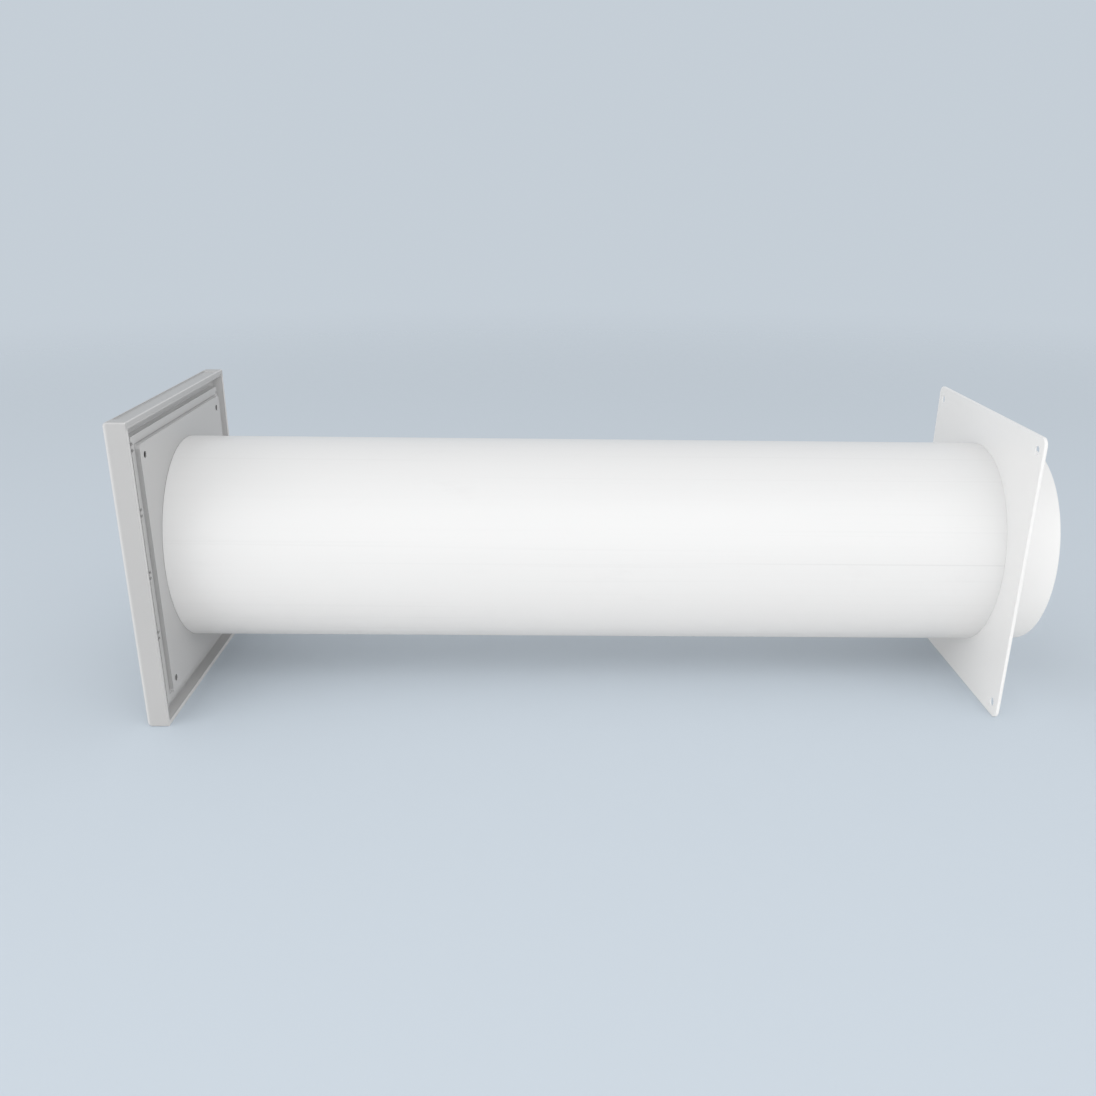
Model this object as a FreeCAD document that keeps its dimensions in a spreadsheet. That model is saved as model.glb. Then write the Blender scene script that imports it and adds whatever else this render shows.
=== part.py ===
"""Through-wall vent sleeve: outer gravity shutter, wall tube and inner flange.

The frame: the origin is on the tube's axis, in the plane of the outer wall's face. +X runs along the tube, from the
shutter to the room, +Z is up. Depths of the shutter are counted from the wall face towards the weather, so they lie
at negative X.
"""
import FreeCAD, Part
import os
from math import copysign, sqrt

import Sketcher

# Driving sizes in millimetres and degrees: one name, one number
SIZES = {
    # tube in the wall
    "tube_outer": 125.0,
    "tube_wall": 1.8,
    "tube_length": 492.3,
    "tube_gap": 0.1,
    "tube_edge_break": 0.4,
    # stubs that enter the tube at both ends
    "stub_clearance": 0.2,
    "stub_wall": 2.0,
    "stub_lead": 0.8,
    "flange_stub_length": 25.0,
    "base_stub_length": 30.0,
    # flange on the room's wall
    "flange_width": 170.0,
    "flange_plate": 2.1,
    "flange_corner": 5.0,
    "flange_edge_break": 0.6,
    "flange_hole": 5.0,
    "flange_hole_land": 0.6,
    "flange_head_recess": 11.0,
    "flange_hole_inset": 8.0,
    "spigot_undersize": 1.4,
    "spigot_wall": 2.2,
    "spigot_length": 30.1,
    "spigot_end_break": 0.8,
    # cover of the outer shutter
    "cover_width": 180.0,
    "cover_depth": 13.0,
    "cover_wall": 2.8,
    "cover_front": 2.0,
    "cover_edge_round": 3.0,
    "cover_corner_round": 1.2,
    "window_bevel": 0.8,
    "border_bottom": 18.0,
    "border_side": 13.0,
    "channel_width": 7.2,
    "channel_depth": 7.0,
    "top_ledge_height": 1.6,
    "top_ledge_setback": 1.0,
    "return_wall": 1.2,
    "drip_recess_depth": 0.8,
    "drip_recess_inset": 9.0,
    "drip_recess_margin": 2.0,
    "sill_wall": 1.3,
    "sill_clearance": 1.3,
    # back plate of the outer shutter
    "base_plate": 2.0,
    "panel_step": 2.4,
    "panel_margin": 5.0,
    "panel_corner": 3.0,
    "base_hole": 4.0,
    "base_hole_land": 0.6,
    "base_head_recess": 8.4,
    "base_hole_inset": 7.0,
    "notch_height": 5.2,
    "notch_reach": 2.4,
    "keeper_height": 2.0,
    "keeper_gap": 0.3,
    # gravity louvres
    "louvre_count": 4,
    "blade_thickness": 1.3,
    "pin_diameter": 2.8,
    "pin_clearance": 0.06,
    "pin_overhang": 0.8,
    "pin_end_gap": 0.4,
    "blade_crown_radius": 120.0,
    "louvre_side_gap": 0.6,
    "louvre_front_room": 2.6,
    "open_angle": 65.0,
    "stop_gap": 0.1,
    "swing_clearance": 0.4,
    "lip_clearance": 0.5,
    "lap_clearance": 0.3,
}

doc = FreeCAD.newDocument("wall_vent_sleeve")
sheet = doc.addObject("Spreadsheet::Sheet", "dims")
for row, (size_name, number) in enumerate(SIZES.items(), start=1):
    sheet.set(f"A{row}", size_name)
    sheet.set(f"B{row}", str(number))
    sheet.setAlias(f"B{row}", size_name)
doc.recompute()


def size(name):
    """The expression that reads one driving size."""
    return f"dims.{name}"


# Sizes that follow from the driving ones, as expressions of them
BORE_RADIUS = f"({size('tube_outer')} / 2 - {size('tube_wall')})"
STUB_RADIUS = f"({BORE_RADIUS} - {size('stub_clearance')})"
STUB_BORE = f"({STUB_RADIUS} - {size('stub_wall')})"
SPIGOT_RADIUS = f"(({size('tube_outer')} - {size('spigot_undersize')}) / 2)"
SPIGOT_BORE = f"({SPIGOT_RADIUS} - {size('spigot_wall')})"
FLANGE_FACE = f"({size('tube_gap')} + {size('tube_length')})"
ROOM_FACE = f"({FLANGE_FACE} + {size('flange_plate')})"
FLANGE_HALF = f"({size('flange_width')} / 2)"
FLANGE_HOLE_PLACE = f"({FLANGE_HALF} - {size('flange_hole_inset')})"

COVER_HALF = f"({size('cover_width')} / 2)"
COVER_INNER = f"({COVER_HALF} - {size('cover_wall')})"
FRONT_INNER = f"({size('cover_depth')} - {size('cover_front')})"
WINDOW_HALF = f"({COVER_HALF} - {size('border_side')})"
WINDOW_BOTTOM = f"({COVER_HALF} - {size('border_bottom')})"

BASE_HALF = f"({COVER_INNER} - {size('channel_width')})"
BASE_FRONT = f"({size('panel_step')} + {size('base_plate')})"
PANEL_HALF = f"({BASE_HALF} - {size('panel_margin')})"
BASE_HOLE_PLACE = f"({PANEL_HALF} - {size('base_hole_inset')})"
RETURN_INNER = f"({BASE_HALF} - {size('return_wall')})"

PIN_RADIUS = f"({size('pin_diameter')} / 2)"
PIN_DEPTH = f"({FRONT_INNER} - {size('louvre_front_room')})"
HALF_BLADE = f"({size('blade_thickness')} / 2)"
# The upstand above each pivot meets the back plate just past the open angle
STOP_REACH = f"({PIN_DEPTH} - {BASE_FRONT} - {size('stop_gap')} - {HALF_BLADE} * cos({size('open_angle')}))"
UPSTAND = f"({STOP_REACH} / sin({size('open_angle')}))"
UPSTAND_SWEEP = f"sqrt({UPSTAND} ^ 2 + {HALF_BLADE} ^ 2)"
FIRST_PIN = f"({RETURN_INNER} - {size('swing_clearance')} - {UPSTAND_SWEEP})"
LIP_RISE = f"({PIN_RADIUS} + {size('lip_clearance')})"
WINDOW_TOP = f"({FIRST_PIN} + {LIP_RISE})"
PITCH = f"(({WINDOW_TOP} + {WINDOW_BOTTOM} - {size('sill_clearance')}) / {size('louvre_count')})"
BLADE_DROP = f"({PITCH} - {LIP_RISE})"
LIP_OFFSET = f"({size('blade_thickness')} + {size('lap_clearance')})"
BLADE_HALF = f"({WINDOW_HALF} - {size('louvre_side_gap')})"
PIN_END = f"({BASE_HALF} + {size('pin_overhang')})"


def value(expression):
    """The number that an expression gives at the present sizes."""
    return float(sheet.evalExpression(expression))


def new_body(label):
    """An empty body whose label names its file."""
    body = doc.addObject("PartDesign::Body", label)
    body.Label = label
    return body


def origin_part(body, role):
    """One of the body's own origin planes or axes."""
    return next(part for part in body.Origin.OriginFeatures if part.Role == role)


def new_sketch(body, name, plane, offset="0"):
    """A sketch on one of the body's origin planes, moved along that plane's normal."""
    sketch = body.newObject("Sketcher::SketchObject", name)
    sketch.AttachmentSupport = (origin_part(body, plane), [""])
    sketch.MapMode = "FlatFace"
    sketch.setExpression("AttachmentOffset.Base.z", offset)
    return sketch


def place_point(sketch, geometry, point, across, up):
    """Ties a point of the sketch to its two distances from the sketch's origin."""
    for kind, axis, expression in (("DistanceX", -2, across), ("DistanceY", -1, up)):
        distance = value(expression)
        if abs(distance) < 1e-9:
            sketch.addConstraint(Sketcher.Constraint("PointOnObject", geometry, point, axis))
            continue
        ends = (-1, 1, geometry, point) if distance > 0 else (geometry, point, -1, 1)
        sign = "" if distance > 0 else "-"
        index = sketch.addConstraint(Sketcher.Constraint(kind, *ends, abs(distance)))
        sketch.setExpression(f"Constraints[{index}]", f"{sign}({expression})")


def arc_between(start, end, radius):
    """The shorter arc between two points, bulging to the left of the way from start to end if the radius is positive."""
    chord = end - start
    left = FreeCAD.Vector(-chord.y, chord.x, 0).normalize()
    rise = abs(radius) - sqrt(radius ** 2 - (chord.Length / 2) ** 2)
    return Part.Arc(start, (start + end) / 2 + left * copysign(rise, radius), end)


def add_outline(sketch, corners, arcs=None):
    """A closed outline through corners given as pairs of expressions; arcs gives the radius of each curved side."""
    arcs = arcs or {}
    points = [FreeCAD.Vector(value(across), value(up), 0) for across, up in corners]
    ends = []
    for side, start in enumerate(points):
        end = points[(side + 1) % len(points)]
        if side not in arcs:
            line = sketch.addGeometry(Part.LineSegment(start, end))
            ends.append(((line, 1), (line, 2)))
            continue
        sign, radius = arcs[side]
        arc = sketch.addGeometry(arc_between(start, end, sign * value(radius)))
        index = sketch.addConstraint(Sketcher.Constraint("Radius", arc, value(radius)))
        sketch.setExpression(f"Constraints[{index}]", radius)
        forward = sketch.getPoint(arc, 1).distanceToPoint(start) < 1e-6
        ends.append(((arc, 1), (arc, 2)) if forward else ((arc, 2), (arc, 1)))
    for side, (across, up) in enumerate(corners):
        sketch.addConstraint(Sketcher.Constraint("Coincident", *ends[side - 1][1], *ends[side][0]))
        place_point(sketch, *ends[side][0], across, up)


def add_rectangle(sketch, left, right, low, high):
    """A rectangle between two positions across and two positions up."""
    add_outline(sketch, [(left, low), (right, low), (right, high), (left, high)])


def add_square(sketch, half):
    """A square about the sketch's origin."""
    add_rectangle(sketch, f"-{half}", half, f"-{half}", half)


def add_circle(sketch, radius, across="0", up="0"):
    """A circle of a given radius about a point."""
    centre = FreeCAD.Vector(value(across), value(up), 0)
    circle = sketch.addGeometry(Part.Circle(centre, FreeCAD.Vector(0, 0, 1), value(radius)))
    place_point(sketch, circle, 3, across, up)
    index = sketch.addConstraint(Sketcher.Constraint("Radius", circle, value(radius)))
    sketch.setExpression(f"Constraints[{index}]", radius)


def add_corner_circles(sketch, diameter, place):
    """Four circles at the corners of a square."""
    for across in (f"-{place}", place):
        for up in (f"-{place}", place):
            add_circle(sketch, f"{diameter} / 2", across, up)


def extrude(body, kind, sketch, length, reverse=False, symmetric=False):
    """Adds (Pad) or takes away (Pocket) the sketch's outline over a length, and checks that it did."""
    before = body.Shape.Volume if body.Tip else 0.0
    feature = body.newObject(f"PartDesign::{kind}", f"{sketch.Name}_{kind.lower()}")
    feature.Profile = sketch
    feature.SideType = "Symmetric" if symmetric else "One side"
    feature.Reversed = reverse
    feature.setExpression("Length", length)
    doc.recompute()
    change = body.Shape.Volume - before
    if (change > 0) != (kind == "Pad"):
        raise RuntimeError(f"{feature.Name} changed the volume by {change:.3f}")
    return feature


def repeat_down(body, features, name):
    """Repeats features at each louvre's pivot height, from the first one down."""
    pattern = body.newObject("PartDesign::LinearPattern", name)
    pattern.Originals = features
    pattern.Direction = (origin_part(body, "Z_Axis"), [""])
    pattern.Reversed = True
    pattern.setExpression("Length", f"{PITCH} * ({size('louvre_count')} - 1)")
    pattern.setExpression("Occurrences", size("louvre_count"))
    body.Tip = pattern
    doc.recompute()
    return pattern


def near(number, expression):
    """True where a coordinate is the one that the expression gives."""
    return abs(number - value(expression)) < 1e-4


def edges_where(feature, test):
    """Names of the feature's edges whose two ends and middle all pass the test."""
    names = []
    for number, edge in enumerate(feature.Shape.Edges, start=1):
        middle = edge.valueAt((edge.FirstParameter + edge.LastParameter) / 2)
        if all(test(point) for point in [vertex.Point for vertex in edge.Vertexes] + [middle]):
            names.append(f"Edge{number}")
    return names


def dress(body, kind, name, test, setting, amount):
    """A fillet or chamfer on the edges of the body's last feature that pass the test."""
    feature_before = body.Tip
    feature = body.newObject(f"PartDesign::{kind}", name)
    feature.Base = (feature_before, edges_where(feature_before, test))
    feature.setExpression(setting, amount)
    doc.recompute()
    return feature


def make_tube():
    """Extruded pipe between the shutter's back plate and the inner flange, with broken end edges."""
    body = new_body("tube")
    section = new_sketch(body, "tube_section", "YZ_Plane", size("tube_gap"))
    add_circle(section, f"{size('tube_outer')} / 2")
    add_circle(section, BORE_RADIUS)
    extrude(body, "Pad", section, size("tube_length"))
    dress(body, "Chamfer", "tube_ends", lambda point: near(point.x, size("tube_gap")) or near(point.x, FLANGE_FACE),
          "Size", size("tube_edge_break"))
    return body


def make_inner_flange():
    """Square wall plate with a duct spigot to the room and a stub that enters the tube, one moulding."""
    body = new_body("inner_flange")
    plate = new_sketch(body, "flange_outline", "YZ_Plane", FLANGE_FACE)
    add_square(plate, FLANGE_HALF)
    add_circle(plate, SPIGOT_BORE)
    extrude(body, "Pad", plate, size("flange_plate"))

    def is_plate_corner(point):
        return near(abs(point.y), FLANGE_HALF) and near(abs(point.z), FLANGE_HALF)

    def is_room_edge(point):
        at_rim = max(abs(point.y), abs(point.z)) > value(f"{FLANGE_HALF} - {size('flange_corner')}") - 1e-4
        return at_rim and near(point.x, ROOM_FACE)

    dress(body, "Fillet", "flange_corners", is_plate_corner, "Radius", size("flange_corner"))
    dress(body, "Chamfer", "flange_room_edge", is_room_edge, "Size", size("flange_edge_break"))

    ring = new_sketch(body, "flange_ring", "XZ_Plane")
    stub_end = f"({FLANGE_FACE} - {size('flange_stub_length')})"
    spigot_end = f"({ROOM_FACE} + {size('spigot_length')})"
    add_outline(ring, [
        (stub_end, STUB_BORE),
        (stub_end, f"{STUB_RADIUS} - {size('stub_lead')}"),
        (f"{stub_end} + {size('stub_lead')}", STUB_RADIUS),
        (FLANGE_FACE, STUB_RADIUS),
        (FLANGE_FACE, SPIGOT_RADIUS),
        (spigot_end, SPIGOT_RADIUS),
        (spigot_end, SPIGOT_BORE),
        (ROOM_FACE, SPIGOT_BORE),
        (FLANGE_FACE, STUB_BORE),
    ])
    turned = body.newObject("PartDesign::Revolution", "flange_ring_turned")
    turned.Profile = ring
    turned.ReferenceAxis = (origin_part(body, "X_Axis"), [""])
    turned.Angle = 360
    doc.recompute()
    dress(body, "Chamfer", "spigot_end", lambda point: near(point.x, spigot_end), "Size", size("spigot_end_break"))

    recesses = new_sketch(body, "flange_head_recesses", "YZ_Plane", ROOM_FACE)
    add_corner_circles(recesses, size("flange_head_recess"), FLANGE_HOLE_PLACE)
    extrude(body, "Pocket", recesses, f"{size('flange_plate')} - {size('flange_hole_land')}")
    holes = new_sketch(body, "flange_holes", "YZ_Plane", ROOM_FACE)
    add_corner_circles(holes, size("flange_hole"), FLANGE_HOLE_PLACE)
    extrude(body, "Pocket", holes, size("flange_plate"))
    return body


def make_shutter_base():
    """Stepped back plate with screw holes, a stub for the tube and keepers that hold the louvre pins in."""
    body = new_body("shutter_base")
    border = new_sketch(body, "base_border", "YZ_Plane", f"-{size('panel_step')}")
    add_square(border, BASE_HALF)
    extrude(body, "Pad", border, size("base_plate"), reverse=True)

    panel = new_sketch(body, "base_panel", "YZ_Plane")
    add_square(panel, PANEL_HALF)
    extrude(body, "Pad", panel, size("panel_step"), reverse=True)

    def is_panel_corner(point):
        on_corner = near(abs(point.y), PANEL_HALF) and near(abs(point.z), PANEL_HALF)
        return on_corner and point.x > -value(size("panel_step")) - 1e-4

    dress(body, "Fillet", "panel_corners", is_panel_corner, "Radius", size("panel_corner"))

    hollow = new_sketch(body, "panel_hollow", "YZ_Plane", f"-{BASE_FRONT}")
    add_square(hollow, f"({PANEL_HALF} - {size('base_plate')})")
    extrude(body, "Pocket", hollow, size("panel_step"), reverse=True)

    stub = new_sketch(body, "base_stub", "YZ_Plane")
    add_circle(stub, STUB_RADIUS)
    extrude(body, "Pad", stub, size("base_stub_length"))
    dress(body, "Chamfer", "base_stub_lead", lambda point: near(point.x, size("base_stub_length")),
          "Size", size("stub_lead"))
    bore = new_sketch(body, "base_bore", "YZ_Plane", size("base_stub_length"))
    add_circle(bore, STUB_BORE)
    extrude(body, "Pocket", bore, f"{size('base_stub_length')} + {BASE_FRONT}")

    recesses = new_sketch(body, "base_head_recesses", "YZ_Plane", f"-{size('base_plate')}")
    add_corner_circles(recesses, size("base_head_recess"), BASE_HOLE_PLACE)
    extrude(body, "Pocket", recesses, f"{size('base_plate')} - {size('base_hole_land')}", reverse=True)
    holes = new_sketch(body, "base_holes", "YZ_Plane")
    add_corner_circles(holes, size("base_hole"), BASE_HOLE_PLACE)
    extrude(body, "Pocket", holes, size("base_plate"))

    notches = new_sketch(body, "base_notches", "YZ_Plane", f"-{size('panel_step')}")
    keepers = new_sketch(body, "pin_keepers", "YZ_Plane", f"-{BASE_FRONT}")
    floor = f"({BASE_HALF} - {size('notch_reach')})"
    keeper_inner = f"({WINDOW_HALF} + {size('keeper_gap')})"
    half_notch = f"{size('notch_height')} / 2"
    half_keeper = f"{size('keeper_height')} / 2"
    keeper_low = f"({FIRST_PIN} - {half_keeper})"
    keeper_high = f"({FIRST_PIN} + {half_keeper})"
    for side in ("", "-"):
        add_rectangle(notches, f"{side}{floor}", f"{side}{BASE_HALF}", keeper_high, f"({FIRST_PIN} + {half_notch})")
        add_rectangle(notches, f"{side}{floor}", f"{side}{BASE_HALF}", f"({FIRST_PIN} - {half_notch})", keeper_low)
        add_rectangle(keepers, f"{side}{keeper_inner}", f"{side}{BASE_HALF}", keeper_low, keeper_high)
    first_notches = extrude(body, "Pocket", notches, size("base_plate"))
    repeat_down(body, [first_notches], "base_notch_rows")
    keeper_length = f"{PIN_DEPTH} - {PIN_RADIUS} - {size('keeper_gap')} - {BASE_FRONT}"
    first_keepers = extrude(body, "Pad", keepers, keeper_length, reverse=True)
    repeat_down(body, [first_keepers], "pin_keeper_rows")
    return body


def make_shutter_cover():
    """Shallow square box, open to the wall, with a louvre window, pivot seats and a drip sill."""
    body = new_body("shutter_cover")
    block = new_sketch(body, "cover_block", "YZ_Plane")
    add_square(block, COVER_HALF)
    extrude(body, "Pad", block, size("cover_depth"), reverse=True)

    def is_side_corner(point):
        return near(abs(point.y), COVER_HALF) and near(abs(point.z), COVER_HALF)

    dress(body, "Fillet", "cover_corners", is_side_corner, "Radius", size("cover_corner_round"))
    dress(body, "Fillet", "cover_front_edge", lambda point: near(point.x, f"-{size('cover_depth')}"),
          "Radius", size("cover_edge_round"))

    channel = new_sketch(body, "wall_channel", "YZ_Plane")
    add_square(channel, COVER_INNER)
    extrude(body, "Pocket", channel, size("channel_depth"))
    chamber = new_sketch(body, "louvre_chamber", "YZ_Plane")
    add_rectangle(chamber, f"-{WINDOW_HALF}", WINDOW_HALF, f"-{RETURN_INNER}", RETURN_INNER)
    extrude(body, "Pocket", chamber, FRONT_INNER)

    ledge = new_sketch(body, "top_ledge", "XZ_Plane")
    add_rectangle(ledge, f"-{size('channel_depth')}", f"-{size('top_ledge_setback')}",
                  f"({COVER_INNER} - {size('top_ledge_height')})", COVER_INNER)
    extrude(body, "Pad", ledge, f"2 * {COVER_INNER}", symmetric=True)

    window = new_sketch(body, "cover_window", "YZ_Plane", f"-{FRONT_INNER}")
    add_rectangle(window, f"-{WINDOW_HALF}", WINDOW_HALF, f"-{WINDOW_BOTTOM}", WINDOW_TOP)
    extrude(body, "Pocket", window, size("cover_front"))

    def is_window_edge(point):
        inside_rim = abs(point.y) < value(WINDOW_HALF) + 1e-4 and abs(point.z) < value(WINDOW_TOP) + 1e-4
        return inside_rim and near(point.x, f"-{size('cover_depth')}")

    dress(body, "Chamfer", "window_edge", is_window_edge, "Size", size("window_bevel"))

    frame = new_sketch(body, "louvre_frame", "YZ_Plane", f"-{BASE_FRONT}")
    add_square(frame, BASE_HALF)
    add_rectangle(frame, f"-{WINDOW_HALF}", WINDOW_HALF, f"-{RETURN_INNER}", RETURN_INNER)
    extrude(body, "Pad", frame, f"{size('channel_depth')} - {BASE_FRONT}", reverse=True)

    sill = new_sketch(body, "drip_sill", "XZ_Plane")
    rib_back = f"-({PIN_DEPTH} - {HALF_BLADE})"
    rib_front = f"({rib_back} - {size('sill_wall')})"
    rib_top = f"({FIRST_PIN} - {size('louvre_count')} * {PITCH} + {UPSTAND})"
    shelf_low = f"-({WINDOW_BOTTOM} + {size('sill_wall')})"
    add_outline(sill, [
        (f"-{FRONT_INNER}", shelf_low),
        (rib_back, shelf_low),
        (rib_back, rib_top),
        (rib_front, rib_top),
        (rib_front, f"-{WINDOW_BOTTOM}"),
        (f"-{FRONT_INNER}", f"-{WINDOW_BOTTOM}"),
    ])
    extrude(body, "Pad", sill, f"2 * {WINDOW_HALF}", symmetric=True)

    seat = new_sketch(body, "pin_seat", "XZ_Plane")
    seat_radius = f"({PIN_RADIUS} + {size('pin_clearance')})"
    add_circle(seat, seat_radius, f"-{PIN_DEPTH}", FIRST_PIN)
    seat_length = f"2 * ({PIN_END} + {size('pin_end_gap')})"
    seat_round = extrude(body, "Pocket", seat, seat_length, symmetric=True)
    mouth = new_sketch(body, "pin_seat_mouth", "XZ_Plane")
    add_rectangle(mouth, f"-{PIN_DEPTH}", f"-{BASE_FRONT}", f"({FIRST_PIN} - {seat_radius})",
                  f"({FIRST_PIN} + {seat_radius})")
    seat_mouth = extrude(body, "Pocket", mouth, seat_length, symmetric=True)
    repeat_down(body, [seat_round, seat_mouth], "pin_seat_rows")

    recess = new_sketch(body, "drip_recess", "XY_Plane", COVER_HALF)
    recess_end = f"({COVER_HALF} - {size('drip_recess_inset')})"
    add_rectangle(recess, f"-({size('cover_depth')} - {size('cover_edge_round')})", f"-{size('drip_recess_margin')}",
                  f"-{recess_end}", recess_end)
    extrude(body, "Pocket", recess, size("drip_recess_depth"))
    return body


def make_louvre(number):
    """Gravity flap about its pivot axis: a crowned blade, an upstand above the pivot, and a pin through both ends."""
    body = new_body(f"louvre_{number}")
    blade = new_sketch(body, f"blade_{number}", "XZ_Plane")
    add_outline(blade, [
        (f"-({LIP_OFFSET} + {HALF_BLADE})", f"-{BLADE_DROP}"),
        (f"-({LIP_OFFSET} - {HALF_BLADE})", f"-{BLADE_DROP}"),
        (HALF_BLADE, "0"),
        (HALF_BLADE, UPSTAND),
        (f"-{HALF_BLADE}", UPSTAND),
        (f"-{HALF_BLADE}", "0"),
    ], {1: (1, f"({size('blade_crown_radius')} - {size('blade_thickness')})"), 5: (-1, size("blade_crown_radius"))})
    extrude(body, "Pad", blade, f"2 * {BLADE_HALF}", symmetric=True)
    pin = new_sketch(body, f"pin_{number}", "XZ_Plane")
    add_circle(pin, PIN_RADIUS)
    extrude(body, "Pad", pin, f"2 * {PIN_END}", symmetric=True)
    body.setExpression("Placement.Base.x", f"-{PIN_DEPTH}")
    body.setExpression("Placement.Base.z", f"{FIRST_PIN} - {number - 1} * {PITCH}")
    return body


def check(bodies):
    """Stops the build if an object failed or a piece isn't one valid solid."""
    failed = [item.Name for item in doc.Objects if {"Invalid", "Error"} & set(item.State)]
    if failed:
        raise RuntimeError(f"failed objects: {failed}")
    for body in bodies:
        if body.Shape.isNull() or not body.Shape.isValid() or len(body.Shape.Solids) != 1:
            raise RuntimeError(f"{body.Label} isn't one valid solid")


pieces = [make_tube(), make_inner_flange(), make_shutter_base(), make_shutter_cover()]
pieces += [make_louvre(number) for number in range(1, int(value(size("louvre_count"))) + 1)]
doc.recompute()
check(pieces)

os.makedirs("parts", exist_ok=True)
for piece in pieces:
    piece.Shape.exportStep(f"parts/{piece.Label}.step")
    box = piece.Shape.BoundBox
    print(f"{piece.Label}: {piece.Shape.Volume:.0f} mm3, x {box.XMin:.2f} to {box.XMax:.2f}, "
          f"y {box.YMin:.2f} to {box.YMax:.2f}, z {box.ZMin:.2f} to {box.ZMax:.2f}")
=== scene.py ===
"""Wall vent sleeve on a pale studio floor: skins, finishes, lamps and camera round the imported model."""
import math

import bpy
import numpy as np
from mathutils import Matrix, Vector, geometry

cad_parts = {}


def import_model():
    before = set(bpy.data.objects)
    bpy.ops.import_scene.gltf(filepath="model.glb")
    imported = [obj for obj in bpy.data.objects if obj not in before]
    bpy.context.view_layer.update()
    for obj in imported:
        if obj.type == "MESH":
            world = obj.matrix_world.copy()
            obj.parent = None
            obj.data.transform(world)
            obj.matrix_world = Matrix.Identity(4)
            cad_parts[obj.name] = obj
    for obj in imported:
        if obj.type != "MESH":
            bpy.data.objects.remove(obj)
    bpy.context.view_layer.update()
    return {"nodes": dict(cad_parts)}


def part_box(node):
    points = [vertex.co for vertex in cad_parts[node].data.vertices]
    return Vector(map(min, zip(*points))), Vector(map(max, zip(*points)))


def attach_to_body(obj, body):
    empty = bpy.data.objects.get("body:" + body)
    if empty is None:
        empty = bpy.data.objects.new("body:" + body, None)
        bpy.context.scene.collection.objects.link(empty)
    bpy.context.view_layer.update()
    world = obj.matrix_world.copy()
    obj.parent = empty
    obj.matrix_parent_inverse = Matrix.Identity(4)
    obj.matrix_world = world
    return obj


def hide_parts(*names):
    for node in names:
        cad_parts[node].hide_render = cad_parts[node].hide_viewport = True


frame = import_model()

nodes = frame["nodes"]
MM = 0.001
UNSTRETCHED = (1.0, 1.0, 1.0)

# Camera in pixels, millimetres and radians, fitted to the photograph's plate corners, tube outline and holes.
# The principal point is near the image's middle: the shift is small, so other views keep the object whole.
IMAGE_SIDE = 1096
FOCAL_PIXELS = 1073.61
PRINCIPAL_POINT = (570.0, 630.0)
CAMERA_PLACE = (224.82, -657.74, 208.04)
CAMERA_YAW = -0.01980
CAMERA_PITCH = -0.39169
CAMERA_ROLL = -0.01382
SENSOR_WIDTH = 36.0
CLIP_START = 10.0

# Sizes of the white pieces in millimetres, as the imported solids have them
PIPE_WALL = 1.8
PLATE_THICKNESS = 2.1
PLATE_CORNER = 5.0
SCREW_HOLE_RADIUS = 2.5
SCREW_HOLE_LAND = 0.6
SCREW_HEAD_RADIUS = 5.5
SCREW_HOLE_PITCH = 154.0
SPIGOT_RADIUS = 61.8
SPIGOT_BORE = 59.6
STUB_LENGTH = 25.0
STUB_RADIUS = 60.5
STUB_BORE = 58.5
STUB_LEAD = 0.8

# Edge rounds of the skins in millimetres, where the solids have a chamfer or a sharp edge
PIPE_END_ROUND = 0.15
PLATE_ROOM_ROUND = 0.6
PLATE_WALL_ROUND = 0.3
SCREW_HOLE_ROUND = 0.15
SPIGOT_ROOT_ROUND = 1.0
SPIGOT_END_ROUND = 0.8
STUB_ROOT_ROUND = 0.5

# Bevels of the grey pieces' edges in millimetres, and angles between faces in degrees: up to the first, two
# faces are one, and from the second on they meet in an edge
COVER_BEVEL = 0.45
BASE_BEVEL = 0.25
LOUVRE_BEVEL = 0.2
BEVEL_SEGMENTS = 2
FLAT_ANGLE = 0.5
EDGE_ANGLE = 35.0

# Fineness of the skins, and the gaps in millimetres under which points are one point
ROUND_SEGMENTS = 192
HOLE_SEGMENTS = 40
CORNER_STEPS = 10
EDGE_STEPS = 4
JOIN_GAP = 1e-4
FILL_GAP = 1e-6
WELD_GAP = 1e-3

# Weld seam of the tube: degrees up from its near side, width in millimetres, and the X in metres where it
# starts to show and where it shows fully
SEAM_ANGLE = 4.3
SEAM_WIDTH = 0.7
SEAM_START = 0.25
SEAM_FULL = 0.45

# Painted shade on the back plate: half the raised panel and where the painted shade begins and ends past its
# side, in millimetres, then its share on the panel's sides and how much more lies at the foot
PANEL_HALF = 75.0
STEP_SHADE_RISE = (-0.06, -0.02)
STEP_SHADE_FALL = (0.3, 0.9)
STEP_SHADE_SIDES = 0.40
STEP_SHADE_FOOT = 0.25

# Painted light on the cover: its walls and front round, the width of a painted edge highlight, how far into
# the wall the painted light inside fades and the X over which the painted rim light begins, in millimetres,
# then shares of painted highlight and painted inside light
COVER_WALL = 2.8
COVER_FRONT = 2.0
COVER_FRONT_ROUND = 3.0
COVER_EDGE = 0.9
WALL_FADE = (0.2, 0.8)
RIM_FADE = (-1.2, -0.2)
TOP_HIGHLIGHT_SHARE = 0.8
INSIDE_LIGHT_SHARE = 0.5

# Pipe plastic: the share of each mark in its colour, its roughness and what scuffs add, the seam's depth
# beside the lines, and the lines' relief with its height in millimetres
PIPE_CLOUDS = 0.6
PIPE_SCUFFS = 0.10
PIPE_STREAKS = 0.09
PIPE_SEAM = 0.35
PIPE_ROUGH = 0.30
SCUFF_ROUGH = 0.12
SEAM_SINK = 0.5
LINE_STRENGTH = 0.10
LINE_HEIGHT = 0.3

# Moulded plastic: the share of each mark in its colour, what clouds and rubs do to its roughness, and the
# height of its grain in millimetres
MOULD_CLOUDS = 0.8
MOULD_RUBS = 0.15
RUB_LIGHTER = 1.08
CLOUD_ROUGH = 0.08
RUB_SMOOTH = 0.10
GRAIN_HEIGHT = 0.2

# Cosines of the angle to an axis at which a face counts as turned away from it, and as facing along it
TURNED_AWAY = 0.5
FACING_FULLY = 0.9
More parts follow.
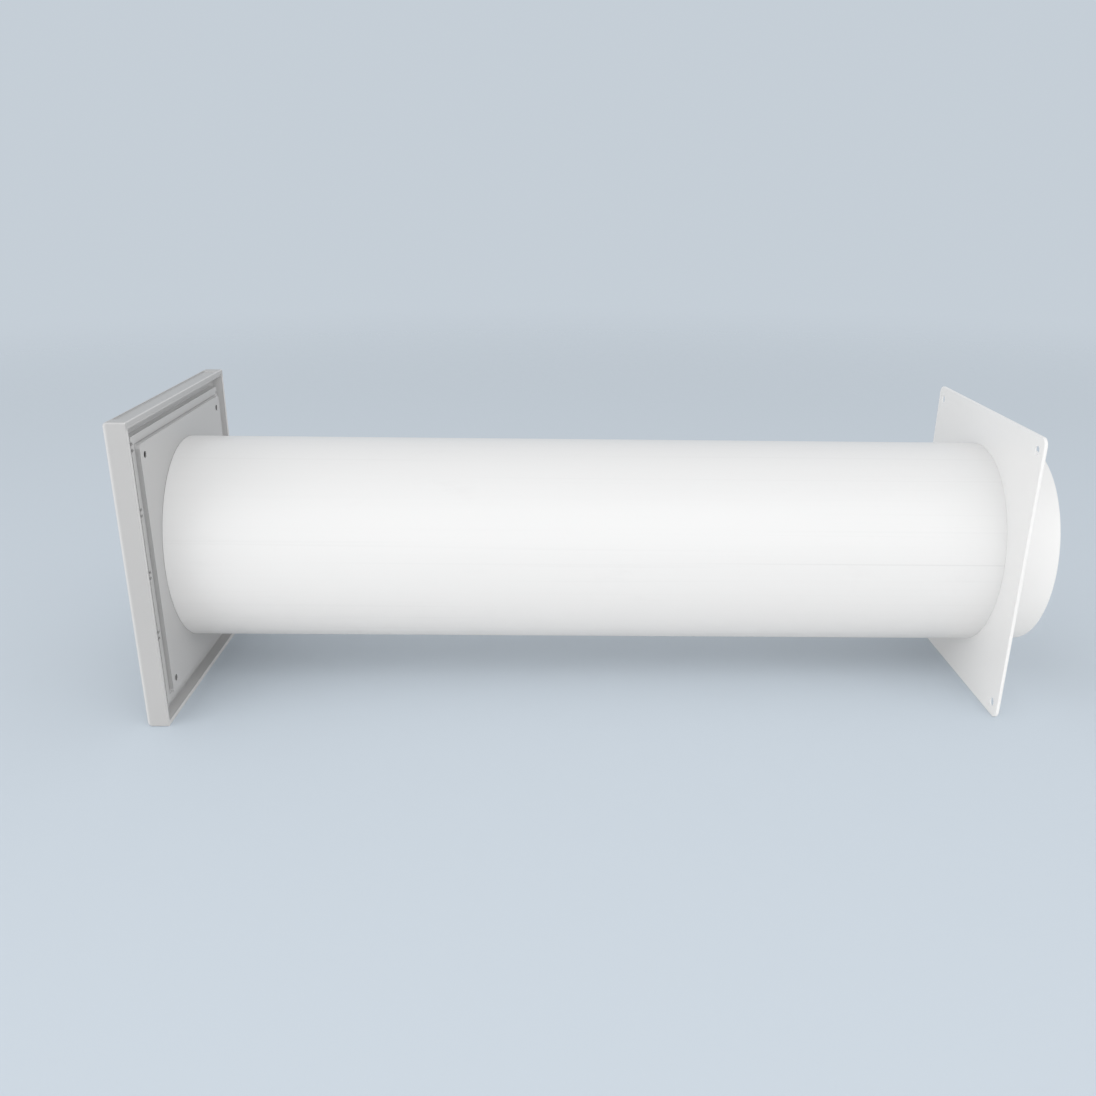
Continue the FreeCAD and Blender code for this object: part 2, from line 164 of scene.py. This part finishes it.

# Colours: levels of the plastics and their marks, painted shade, highlight and light, and the floor and
# surround as they light and are seen
NEUTRAL = (1.0, 1.0, 1.0)
IVORY = (1.0, 1.0, 0.995)
PIPE_DARK = 0.78
PIPE_LIGHT = 0.81
PIPE_WORN = 0.62
# The next four: painted shade in the panel's step, painted highlight on the cover's edges, painted light
# inside the cover and painted light on its rim
PAINTED_STEP_SHADE = 0.24
PAINTED_HIGHLIGHT = 0.76
PAINTED_INSIDE_LIGHT = 0.70
PAINTED_RIM_LIGHT = 0.66
FLOOR_LIT = (0.90, 0.90, 0.90, 1.0)
FLOOR_SEEN = (0.62, 0.69, 0.76, 1.0)
SURROUND_LIT = (1.0, 1.0, 1.0, 1.0)
SURROUND_SEEN = (0.56, 0.62, 0.68, 1.0)
SURROUND_STRENGTH = 0.75

# Floor in metres: X of the cover's and plate's lower edges, half its width, and the ring where it fades out
COVER_FOOT = -0.006
PLATE_FOOT = 0.4925
FLOOR_REACH = 6.0
FLOOR_LINES = 3
FLOOR_MIDDLE = 0.25
FLOOR_FADE = (0.8, 2.4)

# Lamps in metres and watts: name, place, the spot that it points at, and power
LAMP_SIZE = 1.8
LAMPS = [
    ("left_softbox", (0.05, -1.5, 0.9), (0.15, 0.0, 0.0), 5.6),
    ("right_softbox", (1.15, -1.3, 1.0), (0.3, 0.0, 0.0), 6.3),
    ("plate_fill", (-1.6, -1.3, 0.4), (0.4, 0.0, 0.0), 12.0),
]

# Places of the colour sockets in a Mix node
MIX_FACTOR = 0
MIX_FIRST = 6
MIX_SECOND = 7
MIX_COLOUR = 2


class Value:
    """A number socket, on which Python's operators add Math nodes."""

    def __init__(self, shading, socket):
        self.shading = shading
        self.socket = socket

    def __add__(self, other):
        return self.shading.maths("ADD", self, other)

    __radd__ = __add__

    def __sub__(self, other):
        return self.shading.maths("SUBTRACT", self, other)

    def __rsub__(self, other):
        return self.shading.maths("SUBTRACT", other, self)

    def __mul__(self, other):
        return self.shading.maths("MULTIPLY", self, other)

    __rmul__ = __mul__

    def __abs__(self):
        return self.shading.maths("ABSOLUTE", self)


class Shading:
    """The nodes of a material or of the world."""

    def __init__(self, tree):
        self.tree = tree

    def feed(self, socket, term):
        """Links a socket or a Value to an input, or sets the input to a plain value."""
        if isinstance(term, Value):
            term = term.socket
        if isinstance(term, bpy.types.NodeSocket):
            self.tree.links.new(term, socket)
        else:
            socket.default_value = term

    def node(self, kind, settings, inputs):
        """Any node: its settings are set first, then the values or links of its sockets."""
        made = self.tree.nodes.new("ShaderNode" + kind)
        for name, choice in settings.items():
            setattr(made, name, choice)
        for name, term in inputs.items():
            self.feed(made.inputs[name], term)
        return made

    def maths(self, operation, *terms):
        """An operation on terms, each a Value or a plain number."""
        made = self.node("Math", {"operation": operation}, dict(enumerate(terms)))
        return Value(self, made.outputs[0])

    def in_sight(self):
        """1 for rays that see the surround, straight or in a gloss, and 0 for rays that light the object."""
        path = self.node("LightPath", {}, {})
        rays = ("Is Camera Ray", "Is Glossy Ray", "Is Transmission Ray")
        camera_ray, glossy_ray, transmission_ray = [Value(self, path.outputs[ray]) for ray in rays]
        return camera_ray + glossy_ray + transmission_ray


class Finish(Shading):
    """A procedural material: one Principled surface and the nodes that feed it."""

    def __init__(self, name, constants):
        self.material = bpy.data.materials.new(name)
        self.material.use_nodes = True
        super().__init__(self.material.node_tree)
        self.surface = self.tree.nodes["Principled BSDF"]
        for socket, number in constants.items():
            self.feed(self.surface.inputs[socket], number)

    def place(self, stretch=UNSTRETCHED):
        """Object coordinates stretched by a factor along each axis."""
        coordinates = self.node("TexCoord", {}, {})
        mapping = self.node("Mapping", {}, {"Vector": coordinates.outputs["Object"], "Scale": stretch})
        return mapping.outputs["Vector"]

    def axes(self):
        """The three Object coordinates as Values."""
        parts = self.node("SeparateXYZ", {}, {"Vector": self.place()})
        return [Value(self, parts.outputs[axis]) for axis in "XYZ"]

    def facing(self, axis):
        """1 where the surface faces within about 26 degrees of an axis, fading to 0 at 60 degrees."""
        shape = self.node("NewGeometry", {}, {})
        parts = self.node("SeparateXYZ", {}, {"Vector": shape.outputs["True Normal"]})
        return self.band(parts.outputs[axis], TURNED_AWAY, FACING_FULLY)

    def noise(self, scale, detail, roughness, stretch=UNSTRETCHED):
        """Noise about one half, with a feature size of 1/scale metres along an unstretched axis."""
        made = self.node("TexNoise", {}, {"Vector": self.place(stretch), "Scale": scale, "Detail": detail,
                                          "Roughness": roughness})
        return Value(self, made.outputs["Fac"])

    def band(self, signal, low, high):
        """The signal mapped from low..high to 0..1 and held there, with soft ends."""
        made = self.node("MapRange", {"interpolation_type": "SMOOTHSTEP"},
                         {"Value": signal, "From Min": low, "From Max": high})
        return Value(self, made.outputs["Result"])

    def blend(self, factor, first, second):
        """Colour between two colours."""
        made = self.node("Mix", {"data_type": "RGBA"},
                         {MIX_FACTOR: factor, MIX_FIRST: first, MIX_SECOND: second})
        return made.outputs[MIX_COLOUR]

    def bump(self, height, strength, distance):
        """Surface normal tilted by a height."""
        made = self.node("Bump", {}, {"Height": height, "Strength": strength, "Distance": distance})
        return made.outputs["Normal"]

    def dress(self, colour, roughness, normal):
        """Feeds the surface and gives the finished material."""
        self.feed(self.surface.inputs["Base Color"], colour)
        self.feed(self.surface.inputs["Roughness"], roughness)
        self.feed(self.surface.inputs["Normal"], normal)
        return self.material


def grey(level, tint=NEUTRAL):
    """An opaque colour of one level, slightly tinted."""
    return (level * tint[0], level * tint[1], level * tint[2], 1.0)


def rounded(corners, radius, steps):
    """Closed outline with a touching arc in place of each corner.

    With unit vectors from a corner to the ones before and after it, the arc's centre lies on their bisector,
    at the radius divided by the sine of the half angle from the corner. Its spokes turn evenly from one side
    to the other.
    """
    corners = np.asarray(corners, dtype=float)
    back = np.roll(corners, 1, axis=0) - corners
    ahead = np.roll(corners, -1, axis=0) - corners
    back /= np.linalg.norm(back, axis=1, keepdims=True)
    ahead /= np.linalg.norm(ahead, axis=1, keepdims=True)
    half = 0.5 * np.arccos(np.sum(back * ahead, axis=1, keepdims=True))
    bisector = back + ahead
    bisector /= np.linalg.norm(bisector, axis=1, keepdims=True)
    centres = corners + bisector * radius / np.sin(half)
    first = corners + back * radius / np.tan(half) - centres
    last = corners + ahead * radius / np.tan(half) - centres
    sweep = (np.pi - 2.0 * half)[:, None]
    share = np.linspace(0.0, 1.0, steps + 1)[None, :, None]
    spokes = np.sin((1.0 - share) * sweep) * first[:, None] + np.sin(share * sweep) * last[:, None]
    return (centres[:, None] + spokes / np.sin(sweep)).reshape(-1, 2)


def square(half, corner):
    """Rounded square about the centre, in turn against the clock."""
    signs = np.array([(1, -1), (1, 1), (-1, 1), (-1, -1)])
    return rounded(signs * half, corner, CORNER_STEPS)


def circle(radius, centre=(0.0, 0.0), segments=ROUND_SEGMENTS):
    """Circle against the clock: the centre plus the radius times the cosine and sine of an even angle."""
    angle = np.linspace(0.0, 2.0 * np.pi, segments, endpoint=False)
    return np.asarray(centre) + radius * np.stack([np.cos(angle), np.sin(angle)], axis=-1)


def quarter(start, end):
    """Rows of an edge's quarter round from one point to another, leaving along the first coordinate.

    The first coordinate follows the sine and the second one minus the cosine of an even angle.
    """
    angle = np.linspace(0.0, np.pi / 2.0, EDGE_STEPS + 1)
    start = np.asarray(start, dtype=float)
    reach = np.asarray(end, dtype=float) - start
    return start + reach * np.stack([np.sin(angle), 1.0 - np.cos(angle)], axis=-1)


def inside(points, outline):
    """True for points from which a ray along the first axis crosses the outline an odd number of times."""
    ends = np.roll(outline, -1, axis=0)
    across = (outline[None, :, 1] > points[:, None, 1]) != (ends[None, :, 1] > points[:, None, 1])
    rise = np.where(ends[:, 1] == outline[:, 1], 1.0, ends[:, 1] - outline[:, 1])
    share = (points[:, None, 1] - outline[None, :, 1]) / rise
    meets = outline[None, :, 0] + share * (ends - outline)[None, :, 0]
    return np.sum(across & (meets > points[:, None, 0]), axis=1) % 2 == 1


class Skin:
    """The patches of one piece, in millimetres, joined into one closed mesh where their points coincide."""

    def __init__(self):
        self.points = []
        self.normals = []
        self.corners = []
        self.sizes = []
        self.count = 0

    def add(self, points, normals, faces):
        """One patch: its points, their normals and its faces, which all have the same number of corners."""
        self.points.append(points)
        self.normals.append(normals)
        self.corners.append(faces.ravel() + self.count)
        self.sizes.append(np.full(len(faces), faces.shape[1]))
        self.count += len(points)

    def grid(self, points):
        """A patch of rows and closed columns.

        Its normal is the step from row to row crossed with the step from column to column.
        """
        rows, columns = points.shape[:2]
        along = np.gradient(points, axis=0)
        around = np.roll(points, -1, axis=1) - np.roll(points, 1, axis=1)
        normals = np.cross(along, around)
        normals /= np.linalg.norm(normals, axis=-1, keepdims=True)
        cell = np.arange(rows * columns).reshape(rows, columns)
        beside = np.roll(cell, -1, axis=1)
        faces = np.stack([cell[:-1], cell[1:], beside[1:], beside[:-1]], axis=-1).reshape(-1, 4)
        self.add(points.reshape(-1, 3), normals.reshape(-1, 3), faces)

    def revolve(self, profile):
        """A profile of X and radius turned about the X axis: X, radius times cosine, radius times sine."""
        ring = circle(1.0)
        along = np.repeat(profile[:, None, :1], len(ring), axis=1)
        self.grid(np.concatenate([along, profile[:, None, 1:] * ring[None]], axis=-1))

    def wall(self, outline, profile):
        """An outline carried along rows of X and offset: each point moves out along the outline's normal."""
        tangent = np.roll(outline, -1, axis=0) - np.roll(outline, 1, axis=0)
        outward = np.stack([tangent[:, 1], -tangent[:, 0]], axis=-1)
        outward /= np.linalg.norm(outward, axis=1, keepdims=True)
        along = np.repeat(profile[:, None, :1], len(outline), axis=1)
        across = outline[None] + profile[:, None, 1:] * outward[None]
        self.grid(np.concatenate([along, across], axis=-1))
        return across[0], across[-1]

    def flat(self, x, facing, outline, holes):
        """A flat face at one X: the triangles between the outline and its holes."""
        loops = [outline, *holes]
        starts = np.cumsum([0] + [len(loop) for loop in loops])
        sides = [np.stack([np.arange(len(loop)), np.roll(np.arange(len(loop)), -1)], axis=-1) + start
                 for loop, start in zip(loops, starts)]
        filled = geometry.delaunay_2d_cdt(np.concatenate(loops).tolist(), np.concatenate(sides).tolist(), [],
                                          0, FILL_GAP)
        corners = np.array(filled[0])
        faces = np.array(filled[2])
        middles = corners[faces].mean(axis=1)
        keep = inside(middles, outline)
        for hole in holes:
            keep &= ~inside(middles, hole)
        faces = faces[keep]
        if facing < 0:
            faces = faces[:, ::-1]
        points = np.column_stack([np.full(len(corners), x), corners])
        self.add(points, np.tile((float(facing), 0.0, 0.0), (len(points), 1)), faces)

    def piece(self, name, material):
        """The joined mesh in metres, as an object at the origin that keeps each patch's own normals."""
        points = np.concatenate(self.points)
        normals = np.concatenate(self.normals)
        corners = np.concatenate(self.corners)
        sizes = np.concatenate(self.sizes)
        keys = np.round(points / JOIN_GAP).astype(np.int64)
        _, first, joined = np.unique(keys, axis=0, return_index=True, return_inverse=True)
        mesh = bpy.data.meshes.new(name)
        mesh.vertices.add(len(first))
        mesh.vertices.foreach_set("co", (points[first] * MM).ravel())
        mesh.loops.add(len(corners))
        mesh.loops.foreach_set("vertex_index", joined.reshape(-1)[corners])
        mesh.polygons.add(len(sizes))
        mesh.polygons.foreach_set("loop_start", np.cumsum(sizes) - sizes)
        mesh.update(calc_edges=True)
        mesh.shade_smooth()
        mesh.normals_split_custom_set(normals[corners].tolist())
        mesh.materials.append(material)
        made = bpy.data.objects.new(name, mesh)
        bpy.context.scene.collection.objects.link(made)
        return made


def extruded_white(radius):
    """White pipe plastic: drawn lines along the tube, one faint seam, soft clouding and sheen."""
    finish = Finish("extruded_white", {"IOR": 1.5})
    along, across, up = finish.axes()
    angle = finish.maths("ARCTAN2", up, across * -1.0)
    seam = 1.0 - finish.band(abs(angle - math.radians(SEAM_ANGLE)), 0.0, SEAM_WIDTH * MM / radius)
    seam = seam * finish.band(along, SEAM_START, SEAM_FULL)
    lines = finish.noise(scale=700.0, detail=3.0, roughness=0.6, stretch=(0.004, 1.0, 1.0))
    streaks = finish.noise(scale=420.0, detail=2.0, roughness=0.5, stretch=(0.006, 1.0, 1.0))
    streaks = finish.band(streaks, low=0.58, high=0.72)
    clouds = finish.noise(scale=9.0, detail=3.0, roughness=0.5, stretch=(0.5, 1.0, 1.0))
    scuffs = finish.noise(scale=60.0, detail=6.0, roughness=0.65, stretch=(0.35, 1.0, 1.0))
    scuffs = finish.band(scuffs, low=0.60, high=0.78)
    tone = clouds * PIPE_CLOUDS + lines * (1.0 - PIPE_CLOUDS)
    wear = scuffs * PIPE_SCUFFS + streaks * PIPE_STREAKS + seam * PIPE_SEAM
    colour = finish.blend(tone, grey(PIPE_DARK, IVORY), grey(PIPE_LIGHT))
    colour = finish.blend(wear, colour, grey(PIPE_WORN))
    roughness = PIPE_ROUGH + clouds * CLOUD_ROUGH + scuffs * SCUFF_ROUGH
    normal = finish.bump(lines - seam * SEAM_SINK, strength=LINE_STRENGTH, distance=LINE_HEIGHT * MM)
    return finish.dress(colour, roughness, normal)


def moulded(name, dark, light, rough, grain, tint=NEUTRAL, painted_light=None):
    """Moulded plastic: fine matt grain, slow clouds from the melt's flow, faint rubs, then any painted shade
    or light it is given.
    """
    finish = Finish(name, {"IOR": 1.49})
    clouds = finish.noise(scale=14.0, detail=3.0, roughness=0.5)
    fine = finish.noise(scale=2600.0, detail=2.0, roughness=0.5)
    rubs = finish.band(finish.noise(scale=85.0, detail=6.0, roughness=0.7), low=0.60, high=0.80)
    tone = clouds * MOULD_CLOUDS + fine * (1.0 - MOULD_CLOUDS)
    colour = finish.blend(tone, grey(dark, tint), grey(light, tint))
    colour = finish.blend(rubs * MOULD_RUBS, colour, grey(light * RUB_LIGHTER, tint))
    if painted_light:
        colour = painted_light(finish, colour)
    roughness = rough + clouds * CLOUD_ROUGH - rubs * RUB_SMOOTH
    normal = finish.bump(fine, strength=grain, distance=GRAIN_HEIGHT * MM)
    return finish.dress(colour, roughness, normal)


def painted_step_shade(finish, colour):
    """Painted shade at the foot and sides of the back plate's raised panel, left off faces that turn upwards.
    """
    _, across, up = finish.axes()
    reach = finish.maths("MAXIMUM", abs(up), abs(across))
    rise = finish.band(reach, *[(PANEL_HALF + offset) * MM for offset in STEP_SHADE_RISE])
    fall = finish.band(reach, *[(PANEL_HALF + offset) * MM for offset in STEP_SHADE_FALL])
    # Painted shade: darker step sides and foot, where shade falls, and none on faces turned up
    painted_shade = (rise - fall) * (1.0 - finish.facing("Z")) * (STEP_SHADE_SIDES + finish.facing("X") * STEP_SHADE_FOOT)
    return finish.blend(painted_shade, colour, grey(PAINTED_STEP_SHADE))


def cover_painted_light(finish, colour):
    """Painted highlights on the outer edges, and painted light inside the cover and on its rim, except along
    the top.
    """
    low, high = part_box("shutter_cover")
    along, across, up = finish.axes()
    reach = finish.maths("MAXIMUM", abs(up), abs(across))
    # Painted highlight: paler bands on the front round and the top's outer edges, as if they caught light
    front = 1.0 - finish.band(along, low.x, low.x + COVER_FRONT_ROUND * MM)
    side = finish.band(reach, high.z - COVER_FRONT_ROUND * MM, high.z)
    top_edge = finish.band(abs(up), high.z - COVER_EDGE * MM, high.z)
    side_edge = finish.band(abs(across), high.y - COVER_EDGE * MM, high.y)
    back_edge = finish.band(along, -COVER_EDGE * MM, 0.0)
    painted_highlight = front * side + top_edge * (side_edge + back_edge) * TOP_HIGHLIGHT_SHARE
    colour = finish.blend(painted_highlight, colour, grey(PAINTED_HIGHLIGHT))
    # Painted light: the cover's inside made paler, lifting the shade in its cavity
    wall = finish.band(reach, *[high.z - (COVER_WALL - offset) * MM for offset in WALL_FADE])
    rim = finish.band(along, *[offset * MM for offset in RIM_FADE])
    behind = finish.band(along, low.x + 0.5 * COVER_FRONT * MM, low.x + COVER_FRONT * MM)
    colour = finish.blend((1.0 - wall) * (1.0 - rim) * behind * INSIDE_LIGHT_SHARE, colour, grey(PAINTED_INSIDE_LIGHT))
    # Painted light: the rim's +X faces paler, as if their rounding caught light, except along the top
    off_top = 1.0 - finish.band(up, high.z - 2.0 * COVER_WALL * MM, high.z - COVER_WALL * MM)
    return finish.blend(rim * off_top * finish.facing("X"), colour, grey(PAINTED_RIM_LIGHT))


def attach(piece, body, node):
    """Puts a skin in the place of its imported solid."""
    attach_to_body(piece, body)
    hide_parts(node)


def pipe(material):
    """The tube: a rounded oblong of its length and wall, turned about the X axis."""
    low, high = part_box("tube")
    start, end = low.x / MM, high.x / MM
    outer = high.z / MM
    inner = outer - PIPE_WALL
    corners = [(start, inner), (end, inner), (end, outer), (start, outer)]
    section = rounded(corners, PIPE_END_ROUND, EDGE_STEPS)
    skin = Skin()
    skin.revolve(np.concatenate([section, section[:1]]))
    attach(skin.piece("vent_pipe", material), "sleeve", "tube")


def flange(material):
    """The room plate with its holes, duct spigot and stub.

    The plate is two flat faces joined by walls round its outline and holes. The spigot and stub are one
    profile of X and radius turned about X: from the stub's root to its end, back through the bore, round the
    spigot's mouth and along it to its foot.
    """
    low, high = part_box("inner_flange")
    stub_end, spigot_end, half = low.x / MM, high.x / MM, high.z / MM
    plate_wall = stub_end + STUB_LENGTH
    plate_room = plate_wall + PLATE_THICKNESS
    skin = Skin()

    edge = np.concatenate([
        quarter((plate_room - PLATE_ROOM_ROUND, 0.0), (plate_room, -PLATE_ROOM_ROUND))[::-1],
        quarter((plate_wall + PLATE_WALL_ROUND, 0.0), (plate_wall, -PLATE_WALL_ROUND))])
    room_outline, wall_outline = skin.wall(square(half, PLATE_CORNER), edge)

    land = plate_wall + SCREW_HOLE_LAND
    step = SCREW_HEAD_RADIUS - SCREW_HOLE_RADIUS
    hole_wall = np.concatenate([
        quarter((plate_wall + SCREW_HOLE_ROUND, 0.0), (plate_wall, SCREW_HOLE_ROUND))[::-1],
        quarter((land - SCREW_HOLE_ROUND, 0.0), (land, SCREW_HOLE_ROUND))])
    head_seat = np.array([(land, SCREW_HOLE_ROUND), (land, step)])
    head_wall = np.concatenate([
        head_seat[1:],
        quarter((plate_room - SCREW_HOLE_ROUND, step), (plate_room, step + SCREW_HOLE_ROUND))])
    reach = SCREW_HOLE_PITCH / 2.0
    wall_rims = []
    room_rims = []
    for across in (-1, 1):
        for up in (-1, 1):
            hole = circle(SCREW_HOLE_RADIUS, (across * reach, up * reach), HOLE_SEGMENTS)
            wall_rims.append(skin.wall(hole, hole_wall)[0])
            skin.wall(hole, head_seat)
            room_rims.append(skin.wall(hole, head_wall)[1])

    root = STUB_RADIUS + STUB_ROOT_ROUND
    foot = SPIGOT_RADIUS + SPIGOT_ROOT_ROUND
    mouth = spigot_end - SPIGOT_END_ROUND
    skin.revolve(np.concatenate([
        quarter((plate_wall - STUB_ROOT_ROUND, STUB_RADIUS), (plate_wall, root))[::-1],
        [(stub_end + STUB_LEAD, STUB_RADIUS), (stub_end, STUB_RADIUS - STUB_LEAD), (stub_end, STUB_BORE)],
        [(plate_wall, STUB_BORE), (plate_room, SPIGOT_BORE)],
        quarter((mouth, SPIGOT_BORE), (spigot_end, SPIGOT_BORE + SPIGOT_END_ROUND)),
        quarter((mouth, SPIGOT_RADIUS), (spigot_end, SPIGOT_RADIUS - SPIGOT_END_ROUND))[::-1],
        quarter((plate_room + SPIGOT_ROOT_ROUND, SPIGOT_RADIUS), (plate_room, foot))]))

    skin.flat(plate_room, 1, room_outline, room_rims + [circle(foot)])
    skin.flat(plate_wall, -1, wall_outline, wall_rims + [circle(root)])
    attach(skin.piece("room_flange", material), "sleeve", "inner_flange")


def soften(node, material, radius):
    """Gives a CAD node its finish, joins its facets into whole faces and rounds its edges."""
    piece = nodes[node]
    piece.data.materials.clear()
    piece.data.materials.append(material)
    weld = piece.modifiers.new("weld", "WELD")
    weld.merge_threshold = WELD_GAP * MM
    facets = piece.modifiers.new("facets", "DECIMATE")
    facets.decimate_type = "DISSOLVE"
    facets.angle_limit = math.radians(FLAT_ANGLE)
    edge = piece.modifiers.new("edge", "BEVEL")
    edge.width = radius * MM
    edge.segments = BEVEL_SEGMENTS
    edge.limit_method = "ANGLE"
    edge.angle_limit = math.radians(EDGE_ANGLE)
    shade = piece.modifiers.new("shade", "WEIGHTED_NORMAL")
    shade.mode = "FACE_AREA"


def floor():
    """Wide pale plane through the lower edges of the cover and the flange, fading out far from the object.

    Its height is that of the cover's lower edge, plus the distance along X from there times the slope between
    the two edges.
    """
    cover_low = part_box("shutter_cover")[0].z
    plate_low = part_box("inner_flange")[0].z
    slope = (plate_low - cover_low) / (PLATE_FOOT - COVER_FOOT)
    line = np.linspace(-FLOOR_REACH, FLOOR_REACH, FLOOR_LINES)
    along, across = np.meshgrid(line, line, indexing="ij")
    height = cover_low + (along - COVER_FOOT) * slope
    corners = np.stack([along, across, height], axis=-1).reshape(-1, 3)
    cell = np.arange(FLOOR_LINES ** 2).reshape(FLOOR_LINES, FLOOR_LINES)
    quads = np.stack([cell[:-1, :-1], cell[1:, :-1], cell[1:, 1:], cell[:-1, 1:]], axis=-1).reshape(-1, 4)
    mesh = bpy.data.meshes.new("studio_floor")
    mesh.from_pydata(corners.tolist(), [], quads.tolist())
    mesh.materials.append(pale_floor())
    piece = bpy.data.objects.new("studio_floor", mesh)
    bpy.context.scene.collection.objects.link(piece)


def pale_floor():
    """Matt floor, neutral as light and a pale blue-grey to the eye, clear beyond a ring about the object."""
    finish = Finish("pale_floor", {"Roughness": 0.9, "Specular IOR Level": 0.1})
    colour = finish.blend(finish.in_sight(), FLOOR_LIT, FLOOR_SEEN)
    finish.feed(finish.surface.inputs["Base Color"], colour)
    along, across, _ = finish.axes()
    beside = along - FLOOR_MIDDLE
    distance = finish.maths("SQRT", beside * beside + across * across)
    fade = finish.band(distance, *FLOOR_FADE)
    clear = finish.node("BsdfTransparent", {}, {})
    mixed = finish.node("MixShader", {}, {0: fade, 1: finish.surface.outputs[0], 2: clear.outputs[0]})
    finish.feed(finish.tree.nodes["Material Output"].inputs["Surface"], mixed.outputs[0])
    return finish.material


def world():
    """Even surround: neutral light on the object, and a pale blue-grey where it is seen past the floor."""
    surround = bpy.data.worlds.new("studio")
    surround.use_nodes = True
    shading = Shading(surround.node_tree)
    light = shading.tree.nodes["Background"]
    shading.feed(light.inputs["Color"], SURROUND_LIT)
    shading.feed(light.inputs["Strength"], SURROUND_STRENGTH)
    seen = shading.node("Background", {}, {"Color": SURROUND_SEEN})
    mixed = shading.node("MixShader", {}, {0: shading.in_sight(), 1: light.outputs[0], 2: seen.outputs[0]})
    shading.feed(shading.tree.nodes["World Output"].inputs["Surface"], mixed.outputs[0])
    bpy.context.scene.world = surround


def lamp(name, place, aim, power):
    """A soft square lamp that points at a spot."""
    data = bpy.data.lights.new(name, "AREA")
    data.shape = "SQUARE"
    data.size = LAMP_SIZE
    data.energy = power
    piece = bpy.data.objects.new(name, data)
    piece.location = place
    piece.rotation_euler = (Vector(aim) - Vector(place)).to_track_quat("-Z", "Y").to_euler()
    bpy.context.scene.collection.objects.link(piece)


def camera():
    """Camera at the photograph's place: yaw about Z, then pitch, then roll, from a level look along +Y."""
    data = bpy.data.cameras.new("photo_camera")
    data.sensor_width = SENSOR_WIDTH
    data.lens = FOCAL_PIXELS * SENSOR_WIDTH / IMAGE_SIDE
    data.shift_x = (IMAGE_SIDE / 2 - PRINCIPAL_POINT[0]) / IMAGE_SIDE
    data.shift_y = (PRINCIPAL_POINT[1] - IMAGE_SIDE / 2) / IMAGE_SIDE
    data.clip_start = CLIP_START * MM
    piece = bpy.data.objects.new("photo_camera", data)
    turn = (Matrix.Rotation(CAMERA_YAW, 4, "Z") @ Matrix.Rotation(CAMERA_PITCH, 4, "X")
            @ Matrix.Rotation(CAMERA_ROLL, 4, "Y") @ Matrix.Rotation(math.pi / 2, 4, "X"))
    piece.matrix_world = Matrix.Translation(Vector(CAMERA_PLACE) * MM) @ turn
    bpy.context.scene.collection.objects.link(piece)
    bpy.context.scene.camera = piece


pipe(extruded_white(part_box("tube")[1].z))
flange(moulded("moulded_white", dark=0.84, light=0.89, rough=0.34, grain=0.05, tint=IVORY))
cover_grey = moulded("moulded_grey", dark=0.46, light=0.51, rough=0.42, grain=0.12, painted_light=cover_painted_light)
base_grey = moulded("moulded_grey_base", dark=0.51, light=0.56, rough=0.44, grain=0.12, painted_light=painted_step_shade)
louvre_grey = moulded("moulded_grey_louvre", dark=0.47, light=0.52, rough=0.42, grain=0.12)
soften("shutter_cover", cover_grey, COVER_BEVEL)
soften("shutter_base", base_grey, BASE_BEVEL)
for node in nodes:
    if node.startswith("louvre_"):
        soften(node, louvre_grey, LOUVRE_BEVEL)

floor()
world()
for name, place, aim, power in LAMPS:
    lamp(name, place, aim, power)
camera()

bpy.context.scene.view_settings.view_transform = "Standard"
